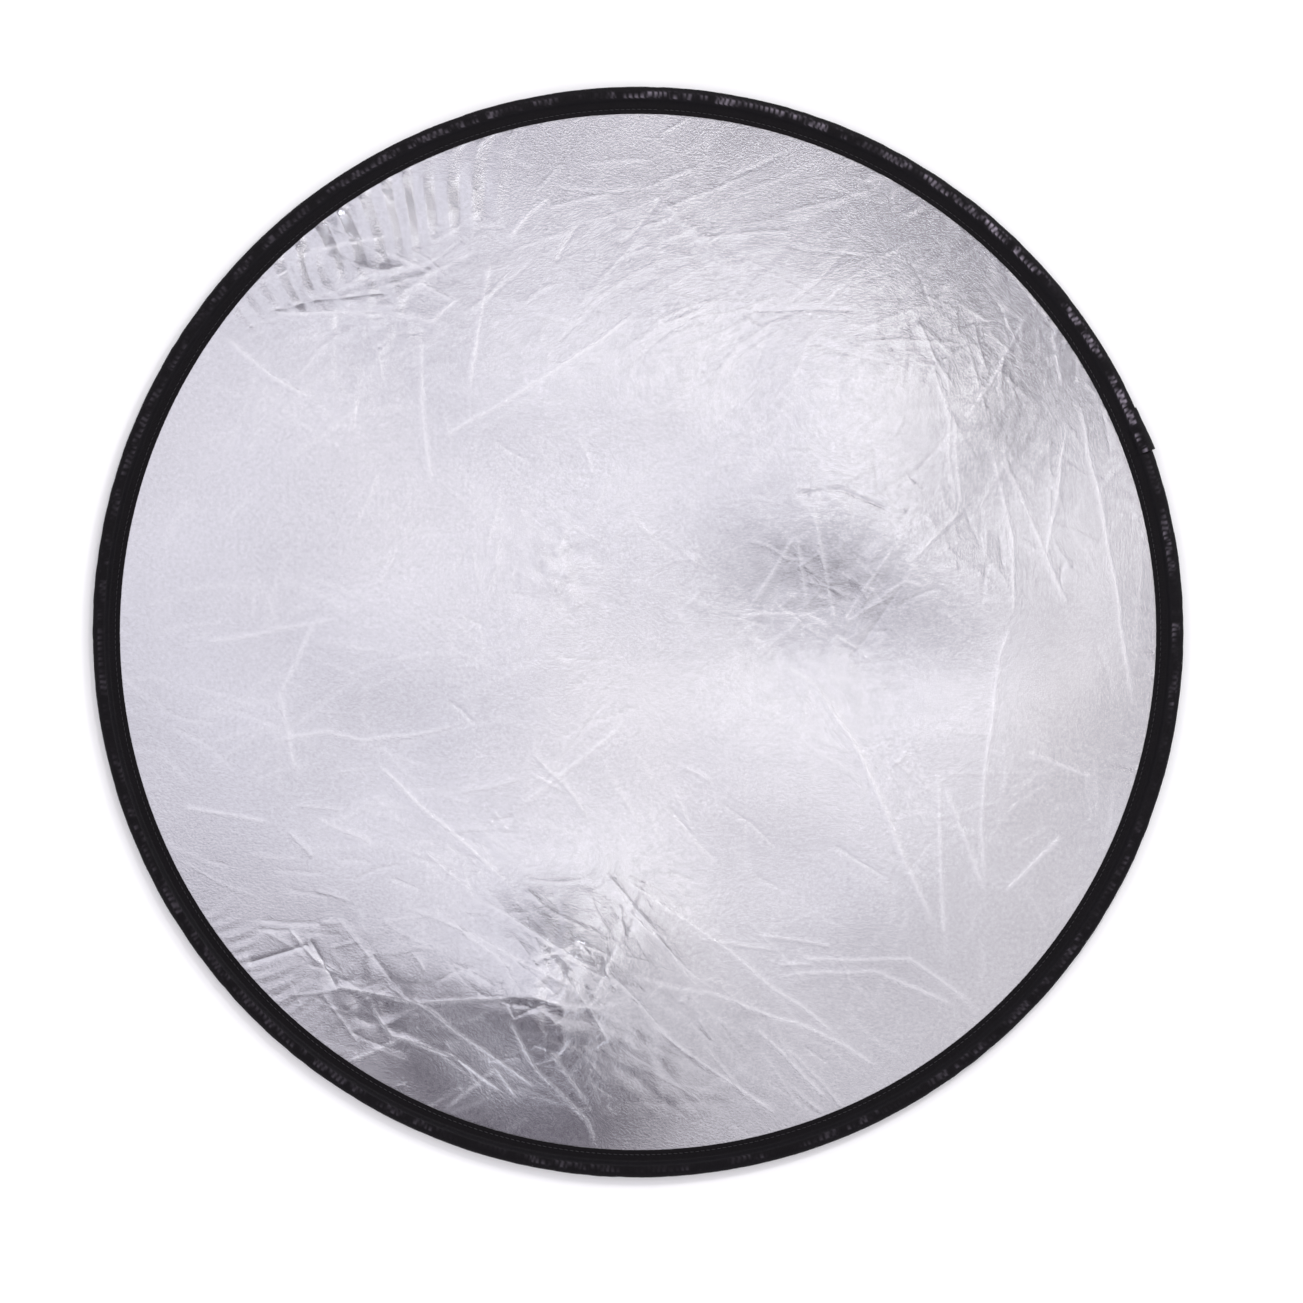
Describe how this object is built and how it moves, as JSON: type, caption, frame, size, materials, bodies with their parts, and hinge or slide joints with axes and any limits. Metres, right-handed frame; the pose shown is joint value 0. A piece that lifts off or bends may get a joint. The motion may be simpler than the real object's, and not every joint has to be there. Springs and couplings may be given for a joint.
{
  "type": "collapsible reflector disc",
  "caption": "Round light reflector: silver cloth stretched in a sewn black rim over a spring hoop that coils down to a third of its width.",
  "frame": {"origin": "centre of the disc, on the underside of the rim, on the surface that the disc lies on", "axes": "+Z along the disc's axis, out of the silver face; +X to the right and +Y up in a front view; the tape's lapped end lies 20 degrees anticlockwise of +X"},
  "size_m": [0.6, 0.6, 0.0076],
  "materials": {
    "silver_cloth": "satin metallised",
    "gold_cloth": "satin metallised",
    "binding_tape": "ribbed weave",
    "sewing_thread": "twisted",
    "spring_steel": "tempered",
    "clip_steel": "pressed"
  },
  "bodies": {
    "rim_01": {"hoop_arc_01": "spring_steel", "binding_arc_01": "binding_tape", "hoop_clip": "clip_steel", "front_panel": "silver_cloth", "rear_panel": "gold_cloth", "needle_thread": "sewing_thread", "bobbin_thread": "sewing_thread"},
    "rim_02": {"hoop_arc_02": "spring_steel", "binding_arc_02": "binding_tape"},
    "rim_03": {"hoop_arc_03": "spring_steel", "binding_arc_03": "binding_tape"},
    "rim_04": {"hoop_arc_04": "spring_steel", "binding_arc_04": "binding_tape"},
    "rim_05": {"hoop_arc_05": "spring_steel", "binding_arc_05": "binding_tape"},
    "rim_06": {"hoop_arc_06": "spring_steel", "binding_arc_06": "binding_tape"},
    "rim_07": {"hoop_arc_07": "spring_steel", "binding_arc_07": "binding_tape"},
    "rim_08": {"hoop_arc_08": "spring_steel", "binding_arc_08": "binding_tape"},
    "rim_09": {"hoop_arc_09": "spring_steel", "binding_arc_09": "binding_tape"},
    "rim_10": {"hoop_arc_10": "spring_steel", "binding_arc_10": "binding_tape"},
    "rim_11": {"hoop_arc_11": "spring_steel", "binding_arc_11": "binding_tape"},
    "rim_12": {"hoop_arc_12": "spring_steel", "binding_arc_12": "binding_tape"},
    "rim_13": {"hoop_arc_13": "spring_steel", "binding_arc_13": "binding_tape"},
    "rim_14": {"hoop_arc_14": "spring_steel", "binding_arc_14": "binding_tape"},
    "rim_15": {"hoop_arc_15": "spring_steel", "binding_arc_15": "binding_tape"},
    "rim_16": {"hoop_arc_16": "spring_steel", "binding_arc_16": "binding_tape"},
    "rim_17": {"hoop_arc_17": "spring_steel", "binding_arc_17": "binding_tape"},
    "rim_18": {"hoop_arc_18": "spring_steel", "binding_arc_18": "binding_tape"},
    "rim_19": {"hoop_arc_19": "spring_steel", "binding_arc_19": "binding_tape"},
    "rim_20": {"hoop_arc_20": "spring_steel", "binding_arc_20": "binding_tape"},
    "rim_21": {"hoop_arc_21": "spring_steel", "binding_arc_21": "binding_tape"},
    "rim_22": {"hoop_arc_22": "spring_steel", "binding_arc_22": "binding_tape"},
    "rim_23": {"hoop_arc_23": "spring_steel", "binding_arc_23": "binding_tape"},
    "rim_24": {"hoop_arc_24": "spring_steel", "binding_arc_24": "binding_tape", "binding_lap": "binding_tape"}
  },
  "joints": [
    {"name": "fold", "type": "hinge", "parent": "rim_01", "child": "rim_02", "pos_m": [0.24457, 0.17125, 0.0035], "axis": [-0.0124, 0.0177, 0.9998], "range_deg": [0, 30], "stiffness_Nm_per_rad": 0.52, "deforming": ["binding_arc_01", "binding_arc_02", "binding_arc_03", "binding_arc_04", "binding_arc_05", "binding_arc_06", "binding_arc_07", "binding_arc_08", "binding_arc_09", "binding_arc_10", "binding_arc_11", "binding_arc_12", "binding_arc_13", "binding_arc_14", "binding_arc_15", "binding_arc_16", "binding_arc_17", "binding_arc_18", "binding_arc_19", "binding_arc_20", "binding_arc_21", "binding_arc_22", "binding_arc_23", "binding_arc_24", "binding_lap", "front_panel", "rear_panel", "needle_thread", "bobbin_thread"]},
    {"name": "fold_02", "type": "hinge", "parent": "rim_02", "child": "rim_03", "pos_m": [0.19188, 0.22867, 0.0035], "axis": [-0.0166, 0.0139, 0.9998], "range_deg": [-0.5, 30.53], "stiffness_Nm_per_rad": 0.52},
    {"name": "fold_03", "type": "hinge", "parent": "rim_03", "child": "rim_04", "pos_m": [0.12613, 0.27049, 0.0035], "axis": [-0.0196, 0.0091, 0.9998], "range_deg": [-0.5, 30.56], "stiffness_Nm_per_rad": 0.52},
    {"name": "fold_04", "type": "hinge", "parent": "rim_04", "child": "rim_05", "pos_m": [0.05181, 0.29386, 0.0035], "axis": [-0.0213, 0.0038, 0.9998], "range_deg": [-0.5, 30.59], "stiffness_Nm_per_rad": 0.52},
    {"name": "fold_05", "type": "hinge", "parent": "rim_05", "child": "rim_06", "pos_m": [-0.026, 0.29719, 0.0035], "axis": [-0.0216, -0.0019, 0.9998], "range_deg": [-0.5, 30.62], "stiffness_Nm_per_rad": 0.52},
    {"name": "fold_06", "type": "hinge", "parent": "rim_06", "child": "rim_07", "pos_m": [-0.10201, 0.28028, 0.0035], "axis": [-0.0203, -0.0074, 0.9998], "range_deg": [-0.5, 30.65], "stiffness_Nm_per_rad": 0.52},
    {"name": "fold_07", "type": "hinge", "parent": "rim_07", "child": "rim_08", "pos_m": [-0.17105, 0.24428, 0.0035], "axis": [-0.0177, -0.0124, 0.9998], "range_deg": [-0.5, 30.68], "stiffness_Nm_per_rad": 0.52},
    {"name": "fold_08", "type": "hinge", "parent": "rim_08", "child": "rim_09", "pos_m": [-0.2284, 0.19165, 0.0035], "axis": [-0.0139, -0.0166, 0.9998], "range_deg": [-0.5, 30.71], "stiffness_Nm_per_rad": 0.52},
    {"name": "fold_09", "type": "hinge", "parent": "rim_09", "child": "rim_10", "pos_m": [-0.27016, 0.12598, 0.0035], "axis": [-0.0091, -0.0196, 0.9998], "range_deg": [-0.5, 30.74], "stiffness_Nm_per_rad": 0.52},
    {"name": "fold_10", "type": "hinge", "parent": "rim_10", "child": "rim_11", "pos_m": [-0.2935, 0.05175, 0.0035], "axis": [-0.0038, -0.0213, 0.9998], "range_deg": [-0.5, 30.77], "stiffness_Nm_per_rad": 0.52},
    {"name": "fold_11", "type": "hinge", "parent": "rim_11", "child": "rim_12", "pos_m": [-0.29684, -0.02597, 0.0035], "axis": [0.0019, -0.0216, 0.9998], "range_deg": [-0.5, 30.8], "stiffness_Nm_per_rad": 0.52},
    {"name": "fold_12", "type": "hinge", "parent": "rim_12", "child": "rim_13", "pos_m": [-0.27994, -0.10189, 0.0035], "axis": [0.0074, -0.0203, 0.9998], "range_deg": [-0.5, 30.83], "stiffness_Nm_per_rad": 0.52},
    {"name": "fold_13", "type": "hinge", "parent": "rim_13", "child": "rim_14", "pos_m": [-0.24398, -0.17084, 0.0035], "axis": [0.0124, -0.0177, 0.9998], "range_deg": [-0.5, 30.86], "stiffness_Nm_per_rad": 0.52},
    {"name": "fold_14", "type": "hinge", "parent": "rim_14", "child": "rim_15", "pos_m": [-0.19142, -0.22812, 0.0035], "axis": [0.0166, -0.0139, 0.9998], "range_deg": [-0.5, 30.89], "stiffness_Nm_per_rad": 0.52},
    {"name": "fold_15", "type": "hinge", "parent": "rim_15", "child": "rim_16", "pos_m": [-0.12583, -0.26984, 0.0035], "axis": [0.0196, -0.0091, 0.9998], "range_deg": [-0.5, 30.92], "stiffness_Nm_per_rad": 0.52},
    {"name": "fold_16", "type": "hinge", "parent": "rim_16", "child": "rim_17", "pos_m": [-0.05169, -0.29315, 0.0035], "axis": [0.0213, -0.0038, 0.9998], "range_deg": [-0.5, 30.95], "stiffness_Nm_per_rad": 0.52},
    {"name": "fold_17", "type": "hinge", "parent": "rim_17", "child": "rim_18", "pos_m": [0.02594, -0.29648, 0.0035], "axis": [0.0216, 0.0019, 0.9998], "range_deg": [-0.5, 30.98], "stiffness_Nm_per_rad": 0.52},
    {"name": "fold_18", "type": "hinge", "parent": "rim_18", "child": "rim_19", "pos_m": [0.10177, -0.27961, 0.0035], "axis": [0.0203, 0.0074, 0.9998], "range_deg": [-0.5, 31.01], "stiffness_Nm_per_rad": 0.52},
    {"name": "fold_19", "type": "hinge", "parent": "rim_19", "child": "rim_20", "pos_m": [0.17063, -0.24369, 0.0035], "axis": [0.0177, 0.0124, 0.9998], "range_deg": [-0.5, 31.04], "stiffness_Nm_per_rad": 0.52},
    {"name": "fold_20", "type": "hinge", "parent": "rim_20", "child": "rim_21", "pos_m": [0.22784, -0.19118, 0.0035], "axis": [0.0139, 0.0166, 0.9998], "range_deg": [-0.5, 31.07], "stiffness_Nm_per_rad": 0.52},
    {"name": "fold_21", "type": "hinge", "parent": "rim_21", "child": "rim_22", "pos_m": [0.26951, -0.12567, 0.0035], "axis": [0.0091, 0.0196, 0.9998], "range_deg": [-0.5, 31.1], "stiffness_Nm_per_rad": 0.52},
    {"name": "fold_22", "type": "hinge", "parent": "rim_22", "child": "rim_23", "pos_m": [0.29279, -0.05163, 0.0035], "axis": [0.0038, 0.0213, 0.9998], "range_deg": [-0.5, 31.13], "stiffness_Nm_per_rad": 0.52},
    {"name": "fold_23", "type": "hinge", "parent": "rim_23", "child": "rim_24", "pos_m": [0.29612, 0.02591, 0.0035], "axis": [-0.0019, 0.0216, 0.9998], "range_deg": [-0.5, 31.16], "stiffness_Nm_per_rad": 0.52}
  ],
  "couplings": [
    {"joint": "fold_02", "follows": "fold", "ratio": 1.001},
    {"joint": "fold_03", "follows": "fold", "ratio": 1.002},
    {"joint": "fold_04", "follows": "fold", "ratio": 1.003},
    {"joint": "fold_05", "follows": "fold", "ratio": 1.004},
    {"joint": "fold_06", "follows": "fold", "ratio": 1.005},
    {"joint": "fold_07", "follows": "fold", "ratio": 1.006},
    {"joint": "fold_08", "follows": "fold", "ratio": 1.007},
    {"joint": "fold_09", "follows": "fold", "ratio": 1.008},
    {"joint": "fold_10", "follows": "fold", "ratio": 1.009},
    {"joint": "fold_11", "follows": "fold", "ratio": 1.01},
    {"joint": "fold_12", "follows": "fold", "ratio": 1.011},
    {"joint": "fold_13", "follows": "fold", "ratio": 1.012},
    {"joint": "fold_14", "follows": "fold", "ratio": 1.013},
    {"joint": "fold_15", "follows": "fold", "ratio": 1.014},
    {"joint": "fold_16", "follows": "fold", "ratio": 1.015},
    {"joint": "fold_17", "follows": "fold", "ratio": 1.016},
    {"joint": "fold_18", "follows": "fold", "ratio": 1.017},
    {"joint": "fold_19", "follows": "fold", "ratio": 1.018},
    {"joint": "fold_20", "follows": "fold", "ratio": 1.019},
    {"joint": "fold_21", "follows": "fold", "ratio": 1.02},
    {"joint": "fold_22", "follows": "fold", "ratio": 1.021},
    {"joint": "fold_23", "follows": "fold", "ratio": 1.022}
  ]
}
